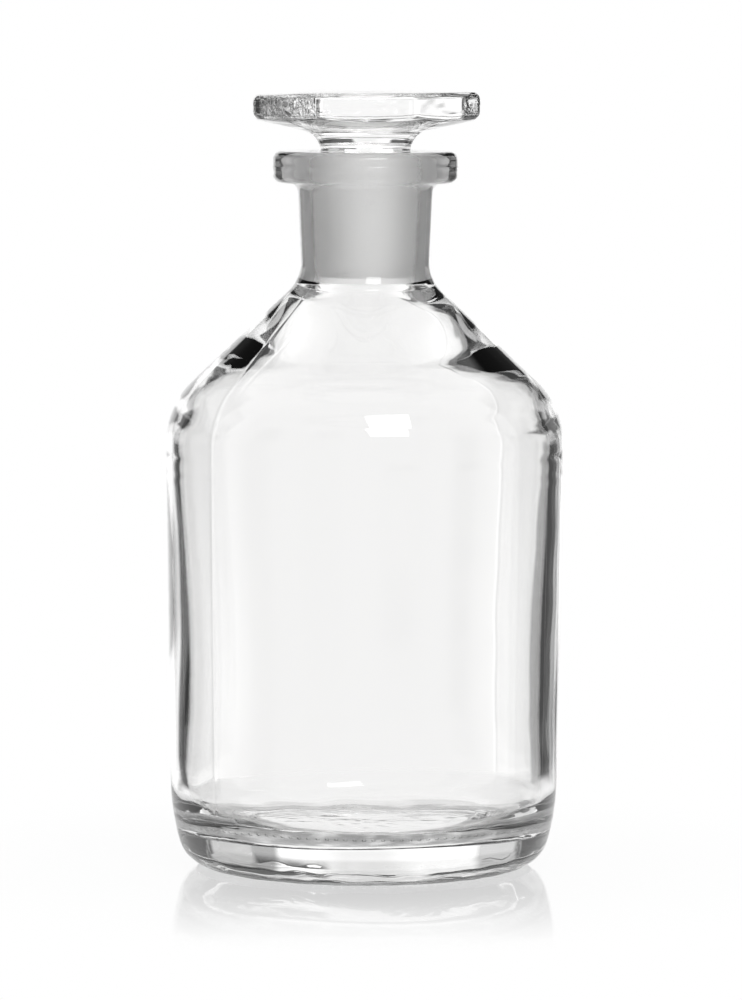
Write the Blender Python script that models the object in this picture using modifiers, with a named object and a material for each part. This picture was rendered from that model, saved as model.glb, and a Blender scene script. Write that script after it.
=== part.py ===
"""Narrow-neck reagent bottle with a standard ground joint and a flat octagonal stopper.

Metres, +Z up. The origin is the centre of the bearing ring that the bottle stands on.
The bottle is one turned glass body; the stopper is solid glass and lifts out along +Z.
"""

import math

import bmesh
import bpy

TURN_STEPS = 48                          # facets round every turned shape
DEGREES_PER_STEP = 20.0                  # how finely a rounded corner is divided

# Ground joint, size 24/29: 24 mm wide at the mouth, 29 mm long, taper 1 in 10
JOINT_DIAMETER = 0.024
JOINT_LENGTH = 0.029
JOINT_TAPER = 0.1
JOINT_CLEARANCE = 0.0002                 # radial play left between plug and socket
MOUTH_ROUND = 0.0006

# Body
BODY_RADIUS = 0.0430                     # at the shoulder, the widest place
BODY_DRAFT = 0.00125                     # how much less the radius is at the heel
BODY_HEIGHT = 0.09945                    # where the wall and the shoulder would meet
BODY_WALL = 0.0028
SHOULDER_ANGLE = math.radians(43.3)      # rise of the conical shoulder
SHOULDER_WALL = 0.0030
SHOULDER_ROUND = 0.0160
INNER_SHOULDER_ROUND = 0.0130

# Heel and base
HEEL_LEAN = math.radians(18.0)
HEEL_SIDE_ROUND = 0.040
HEEL_FOOT_ROUND = 0.0070
HEEL_HEIGHT = 0.0110                     # where the wall and the leaning heel would meet
BEARING_WIDTH = 0.0030                   # flat ring that touches the table
PUSH_UP_DEPTH = 0.0035
PUSH_UP_SLOPE_WIDTH = 0.0060
BASE_THICKNESS = 0.0050                  # in the middle, above the push-up
HEEL_WALL = 0.0034
INNER_HEEL_ROUND = 0.0090

# Neck and flange
NECK_FOOT_WALL = 0.00315
NECK_TOP_WALL = 0.0026
NECK_FOOT_ROUND = 0.0080
JOINT_BELOW_NECK = 0.0015                # the joint's end, under the foot of the neck
THROAT_DROP = 0.0015                     # inner shoulder's apex, under the joint's end
THROAT_ROUND = 0.0028
FLANGE_PROJECTION = 0.0053               # how far the flange stands out of the neck
FLANGE_HEIGHT = 0.0068
FLANGE_ROUND = 0.0018
FLANGE_UNDER_ROUND = 0.0022

# Stopper
HEAD_ACROSS_FLATS = 0.0486
HEAD_SIDES = 8
HEAD_TURN = math.radians(1.5)            # how far the head is turned from square
HEAD_RISE = 0.01285                      # top of the head above the bottle's lip
HEAD_EDGE_HEIGHT = 0.00595               # from the top down to the edge of the underside
HEAD_UNDER_SLOPE = math.radians(13.0)
HEAD_EDGE_ROUND = 0.0016                 # round the rim of the top and between the flats
HEAD_UNDER_ROUND = 0.0024
STEM_DIAMETER = 0.0196
STEM_FILLET = 0.0042
PLUG_SHOULDER_DROP = 0.0008              # plug's shoulder, below the lip
PLUG_SHOULDER_ROUND = 0.0008
PLUG_END_ROUND = 0.0010
PLUG_SHORTFALL = 0.0012                  # the plug ends this much above the socket's end

# Worked out from the sizes above
TAPER_PER_LENGTH = JOINT_TAPER / 2       # change of radius per length along the axis
MOUTH_RADIUS = JOINT_DIAMETER / 2
SOCKET_END_RADIUS = MOUTH_RADIUS - JOINT_LENGTH * TAPER_PER_LENGTH
NECK_FOOT_RADIUS = SOCKET_END_RADIUS + NECK_FOOT_WALL
NECK_TOP_RADIUS = MOUTH_RADIUS + NECK_TOP_WALL
NECK_FOOT_Z = BODY_HEIGHT + (BODY_RADIUS - NECK_FOOT_RADIUS) * math.tan(SHOULDER_ANGLE)
SOCKET_END_Z = NECK_FOOT_Z - JOINT_BELOW_NECK
LIP_Z = SOCKET_END_Z + JOINT_LENGTH
HEAD_TOP_Z = LIP_Z + HEAD_RISE
HEAD_CORNER_RADIUS = HEAD_ACROSS_FLATS / 2 / math.cos(math.pi / HEAD_SIDES)


def rounded(corners):
    """Points (radius, height) along a path of corners (radius, height, corner radius)."""
    points = []
    for index, (r, z, radius) in enumerate(corners):
        if radius == 0:
            points.append((r, z))
            continue
        before, after = corners[index - 1], corners[index + 1]
        way_in = math.atan2(z - before[1], r - before[0])
        way_out = math.atan2(after[1] - z, after[0] - r)
        turn = (way_out - way_in + math.pi) % (2 * math.pi) - math.pi
        cut = radius * math.tan(abs(turn) / 2)
        side = math.copysign(1, turn)
        start_r = r - cut * math.cos(way_in)
        start_z = z - cut * math.sin(way_in)
        centre_r = start_r - side * radius * math.sin(way_in)
        centre_z = start_z + side * radius * math.cos(way_in)
        steps = max(2, math.ceil(abs(math.degrees(turn)) / DEGREES_PER_STEP))
        for step in range(steps + 1):
            way = way_in + turn * step / steps
            points.append((centre_r + side * radius * math.sin(way),
                           centre_z - side * radius * math.cos(way)))
    return points


def glass(name, colour, roughness):
    """Clear or ground glass, drawn as a pale translucent solid."""
    material = bpy.data.materials.new(name)
    material.use_nodes = True
    shader = material.node_tree.nodes["Principled BSDF"]
    shader.inputs["Base Color"].default_value = (*colour, 1)
    shader.inputs["Roughness"].default_value = roughness
    shader.inputs["Metallic"].default_value = 0.0
    shader.inputs["IOR"].default_value = 1.52
    shader.inputs["Transmission Weight"].default_value = 0.9
    return material


def turned(name, profile, collection):
    """A solid of revolution about Z: an outline at +X, outer side from top to bottom."""
    mesh = bpy.data.meshes.new(name)
    shape = bmesh.new()
    corners = [shape.verts.new((r, 0, z)) for r, z in profile]
    for upper, lower in zip(corners, corners[1:]):
        shape.edges.new((upper, lower))
    shape.to_mesh(mesh)
    shape.free()
    solid = bpy.data.objects.new(name, mesh)
    collection.objects.link(solid)
    screw = solid.modifiers.new("turn", "SCREW")
    screw.steps = screw.render_steps = TURN_STEPS
    screw.use_merge_vertices = True
    screw.merge_threshold = 0.00001
    screw.use_smooth_shade = True
    return solid


def bottle_outline():
    """From the mouth over the flange, down the outside, under the base and up the inside."""
    heel_radius = BODY_RADIUS - BODY_DRAFT
    foot_radius = heel_radius - HEEL_HEIGHT * math.tan(HEEL_LEAN)
    foot_turn = math.pi / 2 - HEEL_LEAN
    bearing_outer = foot_radius - HEEL_FOOT_ROUND * math.tan(foot_turn / 2)
    bearing_inner = bearing_outer - BEARING_WIDTH
    slope_end = bearing_inner - PUSH_UP_SLOPE_WIDTH
    floor_z = PUSH_UP_DEPTH + BASE_THICKNESS
    flange_radius = NECK_TOP_RADIUS + FLANGE_PROJECTION
    flange_under_z = LIP_Z - FLANGE_HEIGHT
    inner_radius = BODY_RADIUS - BODY_WALL
    # The inner shoulder starts a wall's thickness inside the outer cone
    level_wall = SHOULDER_WALL / math.sin(SHOULDER_ANGLE)
    inner_shoulder_drop = (level_wall - BODY_WALL) * math.tan(SHOULDER_ANGLE)
    inner_shoulder_z = BODY_HEIGHT - inner_shoulder_drop
    flare_z = LIP_Z - MOUTH_ROUND * 2
    corners = [
        (MOUTH_RADIUS, flare_z, 0),
        (MOUTH_RADIUS, LIP_Z, MOUTH_ROUND),
        (flange_radius, LIP_Z, FLANGE_ROUND),
        (flange_radius, flange_under_z, FLANGE_ROUND),
        (NECK_TOP_RADIUS, flange_under_z, FLANGE_UNDER_ROUND),
        (NECK_FOOT_RADIUS, NECK_FOOT_Z, NECK_FOOT_ROUND),
        (BODY_RADIUS, BODY_HEIGHT, SHOULDER_ROUND),
        (heel_radius, HEEL_HEIGHT, HEEL_SIDE_ROUND),
        (foot_radius, 0, HEEL_FOOT_ROUND),
        (bearing_inner, 0, 0),
        (slope_end, PUSH_UP_DEPTH, PUSH_UP_SLOPE_WIDTH),
        (0, PUSH_UP_DEPTH, 0),
        (0, floor_z, 0),
        (heel_radius - HEEL_WALL, floor_z, INNER_HEEL_ROUND),
        (inner_radius, inner_shoulder_z, INNER_SHOULDER_ROUND),
        (SOCKET_END_RADIUS, SOCKET_END_Z - THROAT_DROP, THROAT_ROUND),
        (SOCKET_END_RADIUS, SOCKET_END_Z, 0),
        (MOUTH_RADIUS, flare_z, 0),
    ]
    outline = rounded(corners)
    return outline[:-1] + outline[:1]


def stopper_outline(reach):
    """The head's underside, the stem and the ground plug, turned out to a radius of reach."""
    half_width = HEAD_ACROSS_FLATS / 2
    edge_z = HEAD_TOP_Z - HEAD_EDGE_HEIGHT
    stem_radius = STEM_DIAMETER / 2
    stem_z = edge_z - (half_width - stem_radius) * math.tan(HEAD_UNDER_SLOPE)
    reach_z = edge_z + HEAD_UNDER_ROUND * 2
    shoulder_z = LIP_Z - PLUG_SHOULDER_DROP
    shoulder_radius = MOUTH_RADIUS - JOINT_CLEARANCE - PLUG_SHOULDER_DROP * TAPER_PER_LENGTH
    end_z = SOCKET_END_Z + PLUG_SHORTFALL
    end_radius = shoulder_radius - (shoulder_z - end_z) * TAPER_PER_LENGTH
    return rounded([
        (0, HEAD_TOP_Z + HEAD_EDGE_ROUND, 0),
        (reach, HEAD_TOP_Z + HEAD_EDGE_ROUND, 0),
        (reach, reach_z, 0),
        (half_width, edge_z, HEAD_UNDER_ROUND),
        (stem_radius, stem_z, STEM_FILLET),
        (stem_radius, shoulder_z, 0),
        (shoulder_radius, shoulder_z, PLUG_SHOULDER_ROUND),
        (end_radius, end_z, PLUG_END_ROUND),
        (0, end_z, 0),
    ])


def octagon(collection):
    """A tall octagonal bar that trims the turned stopper to its flats and rounds its rim."""
    depth = HEAD_RISE + JOINT_LENGTH + HEAD_EDGE_ROUND
    bpy.ops.mesh.primitive_cylinder_add(
        vertices=HEAD_SIDES,
        radius=HEAD_CORNER_RADIUS,
        depth=depth,
        location=(0, 0, HEAD_TOP_Z - depth / 2),
        rotation=(0, 0, math.pi / HEAD_SIDES + HEAD_TURN),
    )
    bar = bpy.context.object
    bar.name = "head_flats"
    for holder in bar.users_collection:
        holder.objects.unlink(bar)
    collection.objects.link(bar)
    bpy.context.view_layer.update()
    bevel = bar.modifiers.new("rounded edges", "BEVEL")
    bevel.width = HEAD_EDGE_ROUND
    bevel.segments = 3
    bar.hide_render = True
    bar.display_type = "WIRE"
    return bar


for old in list(bpy.data.objects):
    bpy.data.objects.remove(old, do_unlink=True)

parts = bpy.data.collections.new("reagent_bottle")
cutters = bpy.data.collections.new("cutters")
bpy.context.scene.collection.children.link(parts)
bpy.context.scene.collection.children.link(cutters)

clear_glass = glass("clear_soda_glass", (0.93, 0.95, 0.95), 0.03)
stopper_glass = glass("pressed_stopper_glass", (0.91, 0.93, 0.93), 0.05)

bottle = turned("bottle", bottle_outline(), parts)
bottle.data.materials.append(clear_glass)

stopper = turned("stopper", stopper_outline(HEAD_CORNER_RADIUS + HEAD_EDGE_ROUND), parts)
stopper.data.materials.append(stopper_glass)
trim = stopper.modifiers.new("octagonal head", "BOOLEAN")
trim.operation = "INTERSECT"
trim.solver = "EXACT"
trim.object = octagon(cutters)
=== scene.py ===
import math

import bmesh
import bpy
import numpy as np
from mathutils import Matrix, Vector


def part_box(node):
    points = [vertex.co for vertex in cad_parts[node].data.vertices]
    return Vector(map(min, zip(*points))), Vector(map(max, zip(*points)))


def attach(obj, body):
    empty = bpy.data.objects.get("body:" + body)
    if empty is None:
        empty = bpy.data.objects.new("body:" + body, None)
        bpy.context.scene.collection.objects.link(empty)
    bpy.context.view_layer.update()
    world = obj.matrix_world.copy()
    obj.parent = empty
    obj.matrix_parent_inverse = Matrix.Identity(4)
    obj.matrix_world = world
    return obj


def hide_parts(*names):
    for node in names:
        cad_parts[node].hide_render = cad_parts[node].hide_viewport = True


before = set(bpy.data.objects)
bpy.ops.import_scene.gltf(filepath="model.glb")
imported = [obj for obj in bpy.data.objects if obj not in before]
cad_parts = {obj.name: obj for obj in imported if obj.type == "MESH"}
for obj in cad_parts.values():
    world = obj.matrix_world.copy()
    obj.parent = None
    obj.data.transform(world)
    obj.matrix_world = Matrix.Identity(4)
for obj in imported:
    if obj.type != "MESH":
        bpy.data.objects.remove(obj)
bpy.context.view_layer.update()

mm = 0.001
tinyShare = 0.0001                           # slack for lengths that divide evenly
mergeReach = 0.002 * mm
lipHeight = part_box("bottle")[1].z / mm       # heights below are in millimetres above the table
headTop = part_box("stopper")[1].z / mm
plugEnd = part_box("stopper")[0].z / mm


# drawing an outline and turning it round the upright axis

def selectNothing():
    if bpy.context.mode != "OBJECT":
        bpy.ops.object.mode_set(mode="OBJECT")
    bpy.ops.object.select_all(action="DESELECT")


def startPoint(name, radius, height):
    # a tiny plane merged to one point, which the outline is extruded from
    selectNothing()
    bpy.ops.mesh.primitive_plane_add(size=mm)
    outline = bpy.context.object
    outline.name = outline.data.name = name
    bpy.ops.object.mode_set(mode="EDIT")
    bpy.ops.mesh.select_all(action="SELECT")
    bpy.ops.mesh.merge(type="CENTER")
    bpy.ops.transform.translate(value=(radius * mm, 0, height * mm))
    return outline


def roundCorner(outline, corners, index, arcStep):
    # the tangent length of a fillet follows from the angle that the outline turns through
    before, here, after = (Vector(corners[index + step][:2]) for step in (-1, 0, 1))
    turn = (here - before).angle(after - here)
    fillet = corners[index][2]
    place = Vector((here.x * mm, 0, here.y * mm))
    mesh = bmesh.from_edit_mesh(outline.data)
    for point in mesh.verts:
        point.select = (point.co - place).length < 0.01 * mm
    mesh.select_flush_mode()
    bmesh.update_edit_mesh(outline.data)
    bpy.ops.mesh.bevel(affect="VERTICES", offset_type="OFFSET", offset=fillet * math.tan(turn / 2) * mm,
                       segments=max(4, round(math.degrees(turn) / arcStep)), profile=0.5)


def divideRuns(outline, longest):
    # straight stretches get rows close enough together to take the waves of hand-finished glass
    bpy.ops.mesh.select_mode(type="EDGE")
    most = 1
    while most > 0:
        mesh = bmesh.from_edit_mesh(outline.data)
        cuts = {edge: math.ceil(edge.calc_length() / (longest * mm) - tinyShare) - 1 for edge in mesh.edges}
        most = max(cuts.values())
        if most > 0:
            for edge in mesh.edges:
                edge.select = cuts[edge] == most
            bmesh.update_edit_mesh(outline.data)
            bpy.ops.mesh.subdivide(number_cuts=most)
    bpy.ops.mesh.select_mode(type="VERT")


def turnOutline(name, corners, settings):
    outline = startPoint(name, *corners[0][:2])
    for (r0, z0, *_), (r1, z1, *_) in zip(corners, corners[1:]):
        step = ((r1 - r0) * mm, 0, (z1 - z0) * mm)
        bpy.ops.mesh.extrude_region_move(TRANSFORM_OT_translate={"value": step})
    for index, corner in enumerate(corners):
        if len(corner) > 2:
            roundCorner(outline, corners, index, settings["arcStep"])
    divideRuns(outline, settings["rowSpacing"])
    bpy.ops.mesh.select_all(action="SELECT")
    bpy.ops.mesh.spin(steps=settings["steps"], angle=2 * math.pi, center=(0, 0, 0), axis=(0, 0, 1))
    bpy.ops.mesh.select_all(action="SELECT")
    bpy.ops.mesh.remove_doubles(threshold=mergeReach)
    bpy.ops.mesh.normals_make_consistent(inside=False)
    bpy.ops.object.mode_set(mode="OBJECT")
    return outline


def readPoints(piece):
    # places in millimetres and normals, as arrays of rows
    count = len(piece.data.vertices)
    places = np.empty(count * 3)
    normals = np.empty(count * 3)
    piece.data.vertices.foreach_get("co", places)
    piece.data.vertices.foreach_get("normal", normals)
    return places.reshape(-1, 3) / mm, normals.reshape(-1, 3)


def writePoints(piece, places):
    piece.data.vertices.foreach_set("co", (places * mm).ravel())
    piece.data.update()


def smoothStep(value, low, high):
    share = np.clip((value - low) / (high - low), 0, 1)
    return share * share * (3 - 2 * share)


def ridge(distance, width):
    return np.exp(-(distance / width) ** 2)


def wrapAngle(angle):
    return (angle + math.pi) % (2 * math.pi) - math.pi


def easeProfile(places, chosen, low, high, spread):
    # eases the curve between two heights, where a fillet runs into a straight stretch
    radius = np.hypot(places[:, 0], places[:, 1])
    levels, first = np.unique(np.round(places[chosen, 2], 3), return_index=True)
    reach = 3 * spread
    fine = 0.2
    grid = np.arange(low - reach, high + reach, fine)
    profile = np.interp(grid, levels, radius[chosen][first])
    kernel = ridge(np.arange(-reach, reach + fine / 2, fine), spread)
    change = np.convolve(profile, kernel / kernel.sum(), "same") - profile
    change *= smoothStep(grid, low, low + spread) * (1 - smoothStep(grid, high - spread, high))
    share = 1 + np.interp(places[:, 2], grid, change) / np.maximum(radius, 1)
    places[chosen, :2] *= share[chosen, None]


def waves(around, height, size, seed, count, turns, length):
    # a sum of slanting ripples, the same every run: turns around the axis, length in millimetres
    dice = np.random.default_rng(seed)
    total = np.zeros_like(around)
    for _ in range(count):
        lobes = dice.integers(turns[0], turns[1] + 1)
        pitch = dice.uniform(*length)
        slant = 2 * math.pi * height / pitch * dice.choice((-1, 1))
        total += np.cos(lobes * around + slant + dice.uniform(0, 6.28))
    return size * total / math.sqrt(count)


# bottle

# millimetres; a wave's values are its height, seed, count, turns round the axis and length
bottle = {
    "steps": 224, "rowSpacing": 1.3, "arcStep": 5,
    "jointTop": 12.0, "jointFoot": 10.55, "jointEnd": 125.56, "throatDrop": 1.5, "throatRound": 2.8,
    "mouthBand": 1.2, "mouthRound": 0.6, "flange": 19.9, "flangeDepth": 6.8, "flangeRound": 1.8,
    "partingHeight": 151.3, "partingWidth": 0.2, "partingRise": 0.15, "underFlangeRound": 2.2,
    "neckTop": 14.6, "neckFoot": 13.7, "neckFootHeight": 127.06, "neckFootRound": 8.0,
    "shoulder": 43.0, "shoulderHeight": 99.45, "shoulderRound": 16.0,
    "wallFoot": 41.75, "heelHeight": 11.0, "heelSideRound": 40.0, "heelFoot": 38.18, "heelFootRound": 7.0,
    "bearing": 30.09, "pushUp": 24.09, "pushUpDepth": 3.5, "pushUpRound": 6.0,
    "floorHeight": 8.5, "innerFoot": 38.35, "innerFootRound": 9.0,
    "innerShoulder": 40.2, "innerShoulderHeight": 97.9, "innerShoulderRound": 13.0,
    "seamAngle": math.radians(-90 - 49), "seamCrowding": 0.72, "seamWidth": 0.45, "seamHeight": 0.05,
    "seamTop": (124, 130), "heelSeam": 6.6, "heelSeamHeight": 0.14, "heelSeamWidth": 0.35,
    "easeFrom": 84, "easeTo": 110, "easeSpread": 1.6,
    "wallBottom": (12, 34), "wallTop": (84, 100),
    "wallGain": 0.75, "wallGainHeight": 44, "wallGainSpread": 24,
    "wallWave": (0.14, 5, 6, (1, 2), (60, 120)), "wallRipple": (0.008, 11, 8, (2, 6), (14, 30)),
    "gatherBottom": (94, 100), "gatherTop": (121, 124.5), "gatherHeight": 112.5, "gatherPitch": 15,
    "gatherFront": 0.03, "gatherSide": 0.70, "gatherSlant": 1.5, "gatherTurn": 2.2,
    "floorWave": (0.12, 3, 5, (1, 4), (22, 50)), "floorWaveReach": 38, "floorTop": 14,
    "blister": (-7.3, -2.6), "blisterWidth": 1.4, "blisterHeight": 0.9,
    "heelWave": (0.03, 41, 12, (5, 18), (5, 14)), "heelWaveTop": (16, 26), "heelWaveFrom": (24, 36),
    "footWave": (0.06, 43, 12, (9, 34), (3, 9)), "footWaveMean": 1.5, "footWaveFrom": (5, 16),
    "footTop": 6, "facesDown": -0.3, "facesAside": 0.1, "facesUpBelow": 60,
    "floorSlack": 0.5, "easeMargin": 10,
}


def bottleCorners():
    # from the middle of the cavity floor, up the inside, over the lip and down the outside
    b = bottle
    flangeFoot = lipHeight - b["flangeDepth"]
    return [
        (0, b["floorHeight"]),
        (b["innerFoot"], b["floorHeight"], b["innerFootRound"]),
        (b["innerShoulder"], b["innerShoulderHeight"], b["innerShoulderRound"]),
        (b["jointFoot"], b["jointEnd"] - b["throatDrop"], b["throatRound"]),
        (b["jointFoot"], b["jointEnd"]),
        (b["jointTop"], lipHeight - b["mouthBand"]),
        (b["jointTop"], lipHeight, b["mouthRound"]),
        (b["flange"], lipHeight, b["flangeRound"]),
        (b["flange"], b["partingHeight"] + b["partingWidth"]),
        (b["flange"] + b["partingRise"], b["partingHeight"]),
        (b["flange"], b["partingHeight"] - b["partingWidth"]),
        (b["flange"], flangeFoot, b["flangeRound"]),
        (b["neckTop"], flangeFoot, b["underFlangeRound"]),
        (b["neckFoot"], b["neckFootHeight"], b["neckFootRound"]),
        (b["shoulder"], b["shoulderHeight"], b["shoulderRound"]),
        (b["wallFoot"], b["heelHeight"], b["heelSideRound"]),
        (b["heelFoot"], 0, b["heelFootRound"]),
        (b["bearing"], 0),
        (b["pushUp"], b["pushUpDepth"], b["pushUpRound"]),
        (0, b["pushUpDepth"]),
    ]


def crowdSeams(places):
    # brings the spin's columns closer together along the two mould seams
    around = np.arctan2(places[:, 1], places[:, 0])
    radius = np.hypot(places[:, 0], places[:, 1])
    offset = wrapAngle(around - bottle["seamAngle"])
    around = around - bottle["seamCrowding"] / 2 * np.sin(2 * offset)
    places[:, 0], places[:, 1] = radius * np.cos(around), radius * np.sin(around)


def shapeBottle(piece):
    b = bottle
    places, _ = readPoints(piece)
    crowdSeams(places)
    writePoints(piece, places)
    places, normals = readPoints(piece)
    radius = np.hypot(places[:, 0], places[:, 1])
    around = np.arctan2(places[:, 1], places[:, 0])
    height = places[:, 2]
    outward = (normals[:, :2] * places[:, :2]).sum(axis=1) / np.maximum(radius, 0.01)
    facesUp = (normals[:, 2] > b["facesAside"]) & (height < b["facesUpBelow"])
    cavity = (outward < -b["facesAside"]) | facesUp
    cavity &= (height > b["floorHeight"] - b["floorSlack"]) & (height < b["jointEnd"])
    outside = (outward > b["facesAside"]) & ~cavity
    # the blown wall is thickest a third of the way up and runs in slow waves
    wall = smoothStep(height, *b["wallBottom"]) * (1 - smoothStep(height, *b["wallTop"]))
    thicker = b["wallGain"] * ridge(height - b["wallGainHeight"], b["wallGainSpread"])
    thicker += waves(around, height, *b["wallWave"]) + waves(around, height, *b["wallRipple"])
    # the shoulder alternates between thick and thin where the blown glass gathered, most at the sides
    gather = smoothStep(height, *b["gatherBottom"]) * (1 - smoothStep(height, *b["gatherTop"]))
    gather *= b["gatherFront"] + b["gatherSide"] * np.cos(around) ** 2
    level = height - b["gatherHeight"] + b["gatherSlant"] * np.sin(around + b["gatherTurn"])
    gather *= np.cos(2 * math.pi * level / b["gatherPitch"])
    body = cavity & (height > b["wallBottom"][0])
    places[body] += (normals * (thicker * wall + gather)[:, None])[body]
    upper = height > b["easeFrom"] - b["easeMargin"]
    for surface in (outside, cavity):
        easeProfile(places, surface & upper, b["easeFrom"], b["easeTo"], b["easeSpread"])
    # the cavity's floor is uneven and has one blister
    floorWave = waves(around, radius * 2, *b["floorWave"]) * (radius / b["floorWaveReach"])
    blister = np.hypot(places[:, 0] - b["blister"][0], places[:, 1] - b["blister"][1])
    floorWave += b["blisterHeight"] * ridge(blister, b["blisterWidth"])
    floorZone = cavity & (height <= b["floorTop"])
    places[floorZone, 2] += floorWave[floorZone]
    # the pressed foot is rippled: the heel inside and the ring that it stands on
    heelWave = waves(around, height, *b["heelWave"]) * (1 - smoothStep(height, *b["heelWaveTop"]))
    heelWave *= smoothStep(radius, *b["heelWaveFrom"])
    places[cavity] += (normals * heelWave[:, None])[cavity]
    under = (normals[:, 2] < b["facesDown"]) & (height < b["footTop"])
    footWave = waves(around, radius, *b["footWave"]) + b["footWaveMean"] * b["footWave"][0]
    places[under, 2] += (np.maximum(footWave, 0) * smoothStep(radius, *b["footWaveFrom"]))[under]
    # raised lines where the halves of the mould and its bottom plate met
    seam = np.minimum(*(np.abs(wrapAngle(around - b["seamAngle"] - half)) for half in (0, math.pi)))
    seamShare = smoothStep(height, b["heelSeam"] - 0.5, b["heelSeam"] + 1)
    seamShare *= 1 - smoothStep(height, *b["seamTop"])
    lift = b["seamHeight"] * ridge(seam * radius, b["seamWidth"]) * seamShare
    heelSeam = ridge(height - b["heelSeam"], b["heelSeamWidth"]) * (radius > b["bearing"])
    lift += b["heelSeamHeight"] * heelSeam
    places[outside] += (normals * lift[:, None])[outside]
    writePoints(piece, places)


clearBottle = turnOutline("clear_bottle", bottleCorners(), bottle)
shapeBottle(clearBottle)
print("bottle turned:", len(clearBottle.data.polygons), "faces")


# stopper

stopper = {
    "steps": 320, "rowSpacing": 0.5, "arcStep": 8,
    "acrossFlats": 48.6, "turn": math.radians(1.5), "cornerRound": 1.6, "edgeRound": 1.6,
    "edgeHeight": 5.95, "underSlope": math.radians(13), "stem": 9.8, "stemFillet": 4.2,
    "headFrom": 1, "squareFrom": 1, "squareTo": 3, "underFrom": 0.5, "underTo": 1.6, "facesAside": 0.9,
    "plugTop": 11.76, "plugFoot": 10.41, "plugShoulder": 0.8, "plugShoulderRound": 0.8, "plugEndRound": 1.0,
    "partingDrop": 2.3, "partingRise": 0.10, "partingWidth": 0.25, "rimFrom": (15, 22),
    "sagStretch": 3, "sagWave": (0.05, 21, 7, (3, 9), (20, 60)),
    "sagRipple": (0.012, 22, 9, (12, 40), (6, 20)),
    "sagMost": 0.05, "sagMean": 0.12, "crinkle": (0.05, 31, 14, (40, 90), (1.2, 4.0)),
    "chilledAngle": math.radians(-133), "chilledSpread": math.radians(19),
    "slump": 0.75, "slumpFrom": (9, 24), "slumpDrops": (4, 0.4), "topDrops": (3, 0.3),
    "topWave": (0.08 / 2.2, 25, 6, (1, 5), (18, 50)), "topDrop": 0.08,
}
halfSide = math.radians(22.5)                # half the angle that one side of an octagon takes up
cornerReach = stopper["acrossFlats"] / 2 / math.cos(halfSide)


def stopperCorners():
    s = stopper
    flat = s["acrossFlats"] / 2
    edge = headTop - s["edgeHeight"]
    slope = math.tan(s["underSlope"])
    plugShoulder = lipHeight - s["plugShoulder"]
    return [
        (0, plugEnd),
        (s["plugFoot"], plugEnd, s["plugEndRound"]),
        (s["plugTop"], plugShoulder, s["plugShoulderRound"]),
        (s["stem"], plugShoulder),
        (s["stem"], edge - (flat - s["stem"]) * slope, s["stemFillet"]),
        (cornerReach, edge + (cornerReach - flat) * slope, s["edgeRound"]),
        (cornerReach, headTop, s["edgeRound"]),
        (0, headTop),
    ]


def octagonReach(around):
    # how far the head reaches at each angle: flats with rounded corners between them
    flat = stopper["acrossFlats"] / 2
    fillet = stopper["cornerRound"]
    aside = np.abs((around + math.pi / 2 - stopper["turn"] + halfSide) % (2 * halfSide) - halfSide)
    tangent = math.atan((flat - fillet) * math.tan(halfSide) / flat)
    centre = (flat - fillet) / math.cos(halfSide)
    corner = halfSide - aside
    arc = centre * np.cos(corner) + np.sqrt(np.maximum(fillet ** 2 - (centre * np.sin(corner)) ** 2, 0))
    return np.where(aside > tangent, arc, flat / np.cos(aside))


def shapeStopper(piece):
    s = stopper
    places, _ = readPoints(piece)
    radius = np.hypot(places[:, 0], places[:, 1])
    around = np.arctan2(places[:, 1], places[:, 0])
    height = places[:, 2]
    head = height > lipHeight + s["headFrom"]
    share = smoothStep(radius, s["stem"] + s["squareFrom"], cornerReach - s["squareTo"]) * head
    scale = 1 + (octagonReach(around) / cornerReach - 1) * share
    newRadius = radius * scale
    slope = math.tan(s["underSlope"])
    edge = headTop - s["edgeHeight"]
    underside = 1 - smoothStep(height, edge - s["underFrom"], headTop - s["underTo"])
    places[:, 2] -= (radius - newRadius) * slope * underside * head
    places[:, 0], places[:, 1] = newRadius * np.cos(around), newRadius * np.sin(around)
    writePoints(piece, places)
    places, normals = readPoints(piece)
    height = places[:, 2]
    rim = smoothStep(newRadius, *s["rimFrom"]) * head
    # the pressed head: a parting line, sagging faces and one chilled, crinkled side
    lift = s["partingRise"] * ridge(height - (headTop - s["partingDrop"]), s["partingWidth"]) * rim
    stretched = height * s["sagStretch"]
    sag = waves(around, stretched, *s["sagWave"]) + waves(around, stretched, *s["sagRipple"])
    chilled = ridge(wrapAngle(around - s["chilledAngle"]), s["chilledSpread"]) * rim
    crinkle = waves(around, height, *s["crinkle"]) * chilled
    upright = np.abs(normals[:, 2]) < s["facesAside"]
    lift += (np.minimum(sag, s["sagMost"]) - s["sagMean"] + crinkle) * rim * upright
    places += normals * (lift * head)[:, None]
    # the top face waves a little and slumps at one side
    slump = s["slump"] * smoothStep(-places[:, 0], *s["slumpFrom"])
    slump *= smoothStep(height, *(headTop - drop for drop in s["slumpDrops"]))
    top = s["topDrop"] + waves(around, newRadius, *s["topWave"])
    places[:, 2] -= slump + top * smoothStep(height, *(headTop - drop for drop in s["topDrops"]))
    writePoints(piece, places)


groundStopper = turnOutline("ground_stopper", stopperCorners(), stopper)
shapeStopper(groundStopper)
print("stopper turned:", len(groundStopper.data.polygons), "faces")

for piece in (clearBottle, groundStopper):
    selectNothing()
    piece.select_set(True)
    bpy.context.view_layer.objects.active = piece
    bpy.ops.object.shade_smooth()


# shader arithmetic

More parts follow.
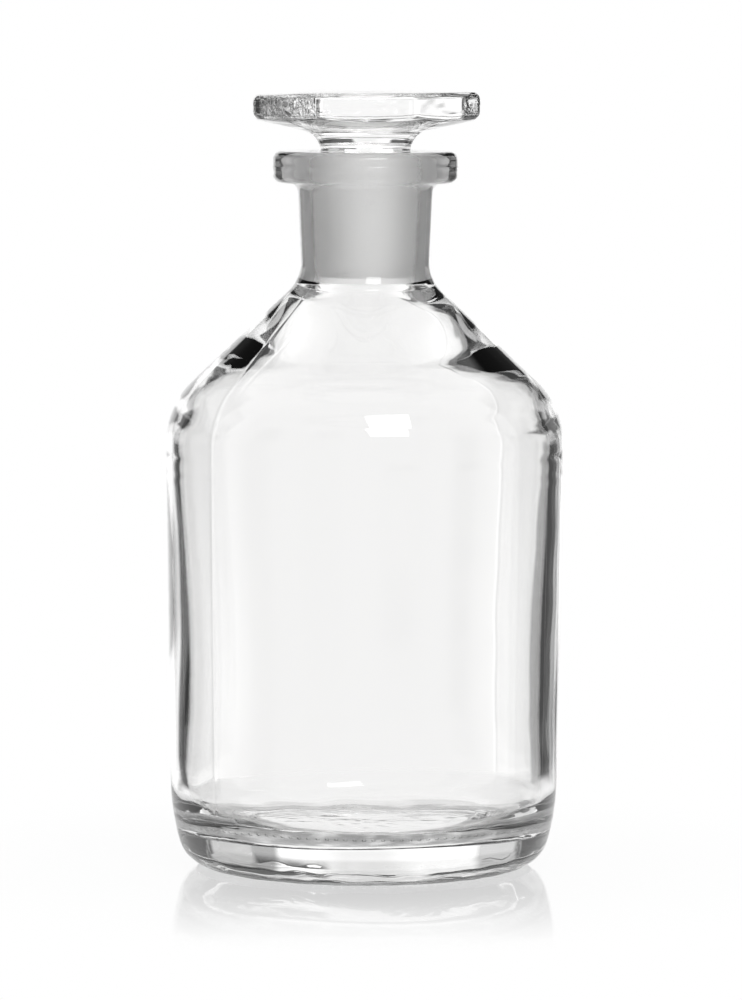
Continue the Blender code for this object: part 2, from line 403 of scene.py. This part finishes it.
class Wire:
    # one output socket; sums on wires add their Math nodes
    def __init__(self, graph, socket):
        self.graph, self.socket = graph, socket

    def combine(self, operation, first, second):
        return self.graph.add("Math", {"operation": operation}, {0: first, 1: second})

    def __add__(self, other):
        return self.combine("ADD", self, other)

    def __radd__(self, other):
        return self.combine("ADD", other, self)

    def __sub__(self, other):
        return self.combine("SUBTRACT", self, other)

    def __rsub__(self, other):
        return self.combine("SUBTRACT", other, self)

    def __mul__(self, other):
        return self.combine("MULTIPLY", self, other)

    def __rmul__(self, other):
        return self.combine("MULTIPLY", other, self)

    def __pow__(self, other):
        return self.combine("POWER", self, other)


class Graph:
    def __init__(self, owner):
        owner.use_nodes = True
        self.tree = owner.node_tree
        self.tree.nodes.clear()

    def add(self, kind, settings=None, sockets=None, output=0):
        node = self.tree.nodes.new("ShaderNode" + kind)
        for name, value in (settings or {}).items():
            setattr(node, name, value)
        for name, value in (sockets or {}).items():
            if isinstance(value, Wire):
                self.tree.links.new(value.socket, node.inputs[name])
            else:
                node.inputs[name].default_value = value
        return Wire(self, node.outputs[output]) if node.outputs else node

    def rise(self, value, low, high):
        # 0 below low and 1 above high, smoothly
        limits = {"Value": value, "From Min": low, "From Max": high}
        return self.add("MapRange", {"interpolation_type": "SMOOTHSTEP"}, limits)

    def band(self, value, low, high, soft):
        return self.rise(value, low - soft, low + soft) * (1 - self.rise(value, high - soft, high + soft))


# glass

# heights and radii in millimetres, reliefs in metres
glass = {
    "tint": (0.953, 0.952, 0.950, 1), "groundTint": (0.99, 0.99, 0.987, 1),
    # painted shade: the grey that the heel's glass is tinted with
    "heelShadeTint": (0.60, 0.60, 0.595, 1),
    "index": 1.52, "groundRough": 0.50, "groundStreaks": 0.2, "clearRough": 0.012,
    "groundEdge": 0.15, "groundFade": 0.4, "streakScale": (60, 60, 2600), "groundRelief": 0.00006,
    "groundStrength": 0.35, "grainShare": 0.5, "grainScale": 3200.0, "hazeScale": 55.0,
    "swirlScale": 70.0, "swirlStrength": 0.12, "swirlRelief": 0.0002,
    "socketMargin": 1.0, "socketRadius": 12.6, "plugMargins": (0.6, 1.2), "plugRadius": 12.2,
    "footRadius": (28.5, 36.5), "footHeight": (0.8, 1.8), "footSoft": 0.6,
    "footRough": 0.3, "footHaze": 0.35,
    "stippleRadius": (33.2, 34.4), "stippleHeight": (3, 4), "stipples": 96,
    "stippleSoft": 0.3, "stippleRelief": 0.0004,
    # the heel heights, radii and patches below mark where the painted shade in the heel goes
    "heelHeight": (5.8, 6.8), "heelShadeRadius": (30, 34), "heelShadePatches": (0.25, 0.55),
    "chilledAngle": -133, "chilledHalf": 18, "chilledDrop": (5.3, 0.9), "chilledSoft": 0.3,
    "chilledRadius": (19, 21),
    "strokeScale": (700, 700, 380), "chilledRelief": 0.0016,
}


def inMetres(pair):
    return pair[0] * mm, pair[1] * mm


def chilledRelief(g, place, around, radius, z):
    # the side of the stopper's head that chilled first in the press is crinkled
    low, high = (glass["chilledAngle"] + side * glass["chilledHalf"] for side in (-1, 1))
    foot, top = (headTop - drop for drop in glass["chilledDrop"])
    chilled = g.band(around, low, high, 1.0) * g.band(z, foot * mm, top * mm, glass["chilledSoft"] * mm)
    chilled = chilled * g.rise(radius, *inMetres(glass["chilledRadius"]))
    strokes = g.add("Mapping", sockets={"Vector": place, "Scale": glass["strokeScale"]})
    marks = g.add("TexNoise", sockets={
        "Vector": strokes, "Scale": 1.0, "Detail": 2.0, "Distortion": 0.6})
    return chilled * marks


def stippleRelief(g, around, radius, z):
    # a ring of small dots under the foot
    dots = g.add("Math", {"operation": "COSINE"}, {0: around * (glass["stipples"] * math.pi / 180)})
    ring = g.band(radius, *inMetres(glass["stippleRadius"]), glass["stippleSoft"] * mm)
    ring = ring * (1 - g.rise(z, *inMetres(glass["stippleHeight"])))
    return g.rise(dots, 0.2, 0.9) * ring


def glassMaterial(name, groundFrom, groundTo, groundRadius, isStopper):
    material = bpy.data.materials.new(name)
    g = Graph(material)
    place = g.add("TexCoord", output="Object")
    split = g.add("SeparateXYZ", sockets={0: place})
    x, y, z = (Wire(g, split.socket.node.outputs[axis]) for axis in "XYZ")
    radius = (x * x + y * y) ** 0.5
    around = g.add("Math", {"operation": "ARCTAN2"}, {0: y, 1: x}) * (180 / math.pi)
    inside = 1 - g.rise(radius, groundRadius * mm, (groundRadius + glass["groundFade"]) * mm)
    ground = g.band(z, groundFrom * mm, groundTo * mm, glass["groundEdge"] * mm) * inside
    along = g.add("Mapping", sockets={"Vector": place, "Scale": glass["streakScale"]})
    streaks = g.add("TexNoise", sockets={"Vector": along, "Scale": 1.0, "Detail": 3.0})
    grain = g.add("TexNoise", sockets={"Vector": place, "Scale": glass["grainScale"], "Detail": 2.0})
    haze = g.add("TexNoise", sockets={"Vector": place, "Scale": glass["hazeScale"], "Detail": 4.0})
    swirl = g.add("TexNoise", sockets={"Vector": place, "Scale": glass["swirlScale"], "Detail": 1.0})
    roughness = ground * (glass["groundRough"] + glass["groundStreaks"] * streaks)
    roughness = roughness + (1 - ground) * glass["clearRough"] * haze
    tint = g.add("Mix", {"data_type": "RGBA"}, {0: ground, 6: glass["tint"], 7: glass["groundTint"]}, 2)
    if isStopper:
        relief = chilledRelief(g, place, around, radius, z)
        depth = glass["chilledRelief"]
    else:
        foot = 1 - g.rise(z, *inMetres(glass["footHeight"]))
        foot = foot * g.band(radius, *inMetres(glass["footRadius"]), glass["footSoft"] * mm)
        roughness = roughness + foot * (glass["footRough"] + glass["footHaze"] * haze)
        relief = stippleRelief(g, around, radius, z)
        depth = glass["stippleRelief"]
        # painted shade: the glass low in the heel is tinted grey in uneven patches, standing in for the
        # shade under the foot
        heelShade = 1 - g.rise(z, *inMetres(glass["heelHeight"]))
        heelShade = heelShade * g.rise(radius, *inMetres(glass["heelShadeRadius"])) * g.rise(haze, *glass["heelShadePatches"])
        tint = g.add("Mix", {"data_type": "RGBA"}, {0: heelShade, 6: tint, 7: glass["heelShadeTint"]}, 2)
    groundBump = g.add("Bump", sockets={
        "Strength": glass["groundStrength"], "Distance": glass["groundRelief"],
        "Height": ground * (streaks + glass["grainShare"] * grain)})
    reliefBump = g.add("Bump", sockets={
        "Strength": 1.0, "Distance": depth, "Height": relief, "Normal": groundBump})
    bump = g.add("Bump", sockets={
        "Strength": glass["swirlStrength"], "Distance": glass["swirlRelief"],
        "Height": swirl * (1 - ground), "Normal": reliefBump})
    shader = g.add("BsdfPrincipled", sockets={
        "Base Color": tint, "Roughness": roughness, "Normal": bump,
        "IOR": glass["index"], "Transmission Weight": 1.0,
    })
    g.add("OutputMaterial", sockets={"Surface": shader})
    return material


clearGlass = glassMaterial("clear_soda_glass", bottle["jointEnd"], lipHeight - glass["socketMargin"],
                           glass["socketRadius"], False)
pressedGlass = glassMaterial("pressed_soda_glass", plugEnd + glass["plugMargins"][0],
                             lipHeight - glass["plugMargins"][1], glass["plugRadius"], True)
for piece, material, node, body, slot in (
        (clearBottle, clearGlass, "bottle", "bottle", "clear_glass"),
        (groundStopper, pressedGlass, "stopper", "stopper", "pressed_glass")):
    piece.data.materials.clear()
    piece.data.materials.append(material)
    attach(piece, body)
    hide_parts(node)
print("glass finished")


# table, backdrop, window lamp and camera

# metres, watts, millimetres of lens and degrees
studio = {
    "floorRadius": 1.2, "floorDrop": 0.00005,
    "mirror": 0.36, "mirrorZone": (0.036, 0.125), "mirrorRough": 0.04,
    "paint": (0.8, 0.8, 0.8, 1), "paintShare": 0.08, "plainShare": 0.5, "clearZone": (0.14, 0.20),
    # shadeZone, shadeSoft and shadeLevel set the painted shadow on the table under the foot
    "shadeZone": (0.025, 0.041), "shadeSoft": 0.0012, "shadeLevel": 0.42,
    "mottleScale": 160.0, "mottle": (0.2, 0.6),
    "window": (0.30, -1.0, 1.05), "windowTarget": (0, 0, 0.1),
    "windowSize": (0.55, 0.45), "windowPower": 5.0,
    "camera": (0, -1.250, 0.1857), "lens": 208.8, "sensor": 36,
    "turn": -0.065, "tilt": 90 - 4.87, "roll": 0.162,
}
rayKinds = ("Is Camera Ray", "Is Transmission Ray")


def makeFloor():
    selectNothing()
    bpy.ops.mesh.primitive_circle_add(vertices=128, radius=studio["floorRadius"], fill_type="NGON")
    floor = bpy.context.object
    floor.name = "table"
    floor.location.z = -studio["floorDrop"]
    material = bpy.data.materials.new("white_table")
    g = Graph(material)
    place = g.add("TexCoord", output="Object")
    split = g.add("SeparateXYZ", sockets={0: place})
    x, y = (Wire(g, split.socket.node.outputs[axis]) for axis in "XY")
    radius = (x * x + y * y) ** 0.5
    path = g.add("LightPath")
    fromCamera, fromGlass = (Wire(g, path.socket.node.outputs[name]) for name in rayKinds)
    white = g.add("Emission", sockets={"Color": (1, 1, 1, 1), "Strength": 1.0})
    paint = g.add("BsdfDiffuse", sockets={"Color": studio["paint"]})
    lacquer = g.add("BsdfGlossy", sockets={"Color": (1, 1, 1, 1), "Roughness": studio["mirrorRough"]})
    near = 1 - g.rise(radius, *studio["mirrorZone"])
    lit = g.add("MixShader", sockets={0: studio["paintShare"] * near, 1: white, 2: paint})
    seen = g.add("MixShader", sockets={0: studio["mirror"] * near, 1: lit, 2: lacquer})
    plain = g.add("MixShader", sockets={0: studio["plainShare"], 1: white, 2: paint})
    surface = g.add("MixShader", sockets={0: fromCamera, 1: plain, 2: seen})
    # painted shadow: seen through the glass, a mottled ring of the table under the foot is a dimmer
    # emission, standing in for the light that the foot keeps off the table
    mottle = g.add("TexNoise", sockets={"Vector": place, "Scale": studio["mottleScale"], "Detail": 3.0})
    paintedShadowMask = g.band(radius, *studio["shadeZone"], studio["shadeSoft"])
    paintedShadowMask = paintedShadowMask * g.rise(mottle, *studio["mottle"])
    paintedShadow = g.add("Emission", sockets={"Color": (1, 1, 1, 1), "Strength": studio["shadeLevel"]})
    under = g.add("MixShader", sockets={0: paintedShadowMask, 1: white, 2: paintedShadow})
    throughGlass = g.add("MixShader", sockets={0: fromGlass, 1: surface, 2: under})
    beyond = (1 - fromCamera) * g.rise(radius, *studio["clearZone"])
    clear = g.add("BsdfTransparent")
    final = g.add("MixShader", sockets={0: beyond, 1: throughGlass, 2: clear})
    g.add("OutputMaterial", sockets={"Surface": final})
    floor.data.materials.append(material)


# directions round the bottle in degrees, the softness of each edge, and how bright each part is
room = {
    "horizon": (-2, 2), "leftEdge": (-32, -25), "lowEdge": (14.5, 17), "lowEnd": (23, 26),
    "highEdge": (18, 20.5), "highEnd": (27, 30), "greyDrop": 0.68, "endDrop": 0.29,
    "sides": (3, 13), "sideGain": 0.30, "upper": (12, 24), "upperDrop": 0.08, "darkDrop": 0.97,
    "rightFrom": (6, 10), "rightAbove": (8, 11), "leftFrom": (-18, -14), "leftAbove": (14, 17),
    "rightPanel": ((26, 44, 1.5), (1, 14, 2), 0.62), "leftPanel": ((-44, -27, 2), (2, 15, 2), 0.70),
    "dark": 0.045, "ahead": (-46, 46, 1), "cards": ((-79, -46, 1.5), (46, 79, 1.5)), "cardDrop": 0.94,
    "sideCard": (-121, -104, 4), "behindCards": ((104, 121, 4), (149, 166, 4)),
    "behindHeight": (-24, -11.5, 1.5),
    "sideDrop": 0.5, "table": (-24, -19), "tableCard": (-82, -61, 2), "tableDrop": 0.75,
    "ceilingFrom": (38, 46), "ceiling": 1.15, "near": (-0.35, -0.1), "nearLevel": 0.8,
}


def backdrop(g, azimuth, elevation):
    # the white backdrop ends at a grey edge on its right, sooner low down than high up
    r = room
    low = 1 - g.rise(elevation, *r["horizon"])
    greyEdge = low * g.rise(azimuth, *r["lowEdge"]) + (1 - low) * g.rise(azimuth, *r["highEdge"])
    farEdge = low * g.rise(azimuth, *r["lowEnd"]) + (1 - low) * g.rise(azimuth, *r["highEnd"])
    white = g.rise(azimuth, *r["leftEdge"]) * (1 - r["greyDrop"] * greyEdge - r["endDrop"] * farEdge)
    aside = g.add("Math", {"operation": "ABSOLUTE"}, {0: azimuth})
    white = white * (1 + r["sideGain"] * g.rise(aside, *r["sides"]))
    upperRight = g.rise(azimuth, *r["rightFrom"]) * g.rise(elevation, *r["rightAbove"])
    upperLeft = (1 - g.rise(azimuth, *r["leftFrom"])) * g.rise(elevation, *r["leftAbove"])
    white = white * (1 - r["darkDrop"] * (upperRight + upperLeft))
    white = white * (1 - r["upperDrop"] * g.rise(elevation, *r["upper"]))
    panels = 0
    for across, up, brightness in (r["rightPanel"], r["leftPanel"]):
        panels = panels + brightness * g.band(azimuth, *across) * g.band(elevation, *up)
    brightest = g.add("Math", {"operation": "MAXIMUM"}, {0: white, 1: panels})
    return r["dark"] + (1 - r["dark"]) * brightest


def makeWorld():
    world = bpy.data.worlds.new("studio")
    bpy.context.scene.world = world
    g = Graph(world)
    r = room
    direction = g.add("TexCoord", output="Generated")
    split = g.add("SeparateXYZ", sockets={0: direction})
    x, y, z = (Wire(g, split.socket.node.outputs[axis]) for axis in "XYZ")
    azimuth = g.add("Math", {"operation": "ARCTAN2"}, {0: x, 1: y}) * (180 / math.pi)
    elevation = g.add("Math", {"operation": "ARCSINE"}, {0: z}) * (180 / math.pi)
    # all round the bottle, a black card wherever one of its limbs would show no edge
    leftCard, rightCard = (g.band(azimuth, *card) for card in r["cards"])
    nearCard, farCard = (g.band(azimuth, *card) for card in r["behindCards"])
    behind = (nearCard + farCard) * g.band(elevation, *r["behindHeight"])
    around = 1 - r["cardDrop"] * (leftCard + rightCard)
    around = around - r["sideDrop"] * (g.band(azimuth, *r["sideCard"]) + behind)
    ahead = g.band(azimuth, *r["ahead"])
    level = ahead * backdrop(g, azimuth, elevation) + (1 - ahead) * around
    # low down the table is white again, apart from a card for the view from the front right
    table = 1 - g.rise(elevation, *r["table"])
    level = (1 - table) * level + table * (1 - r["tableDrop"] * g.band(azimuth, *r["tableCard"]))
    ceiling = g.rise(elevation, *r["ceilingFrom"])
    level = level * (1 - ceiling) + r["ceiling"] * ceiling
    path = g.add("LightPath")
    fromCamera, fromGlass = (Wire(g, path.socket.node.outputs[name]) for name in rayKinds)
    # what only reflects off the near side of the glass is the plain, dimmer half of the studio
    nearSide = (1 - g.rise(y, *r["near"])) * (1 - fromGlass)
    level = level * (1 - nearSide) + r["nearLevel"] * nearSide
    strength = fromCamera + (1 - fromCamera) * level
    light = g.add("Background", sockets={"Color": (1, 1, 1, 1), "Strength": strength})
    g.add("OutputWorld", sockets={"Surface": light})


def makeWindow():
    place = Vector(studio["window"])
    light = bpy.data.lights.new("window", "AREA")
    light.shape = "RECTANGLE"
    light.size, light.size_y = studio["windowSize"]
    light.energy = studio["windowPower"]
    lamp = bpy.data.objects.new("window", light)
    lamp.location = place
    lamp.rotation_euler = (Vector(studio["windowTarget"]) - place).to_track_quat("-Z", "Y").to_euler()
    bpy.context.collection.objects.link(lamp)


def makeCamera():
    camera = bpy.data.objects.new("camera", bpy.data.cameras.new("camera"))
    camera.data.lens = studio["lens"]
    camera.data.sensor_width = studio["sensor"]
    turn, tilt, roll = (Matrix.Rotation(math.radians(studio[name]), 4, axis)
                        for name, axis in (("turn", "Z"), ("tilt", "X"), ("roll", "Z")))
    camera.matrix_world = Matrix.Translation(studio["camera"]) @ turn @ tilt @ roll
    bpy.context.collection.objects.link(camera)
    bpy.context.scene.camera = camera


makeFloor()
makeWorld()
makeWindow()
makeCamera()
bpy.context.scene.view_settings.view_transform = "Standard"
print("studio ready")
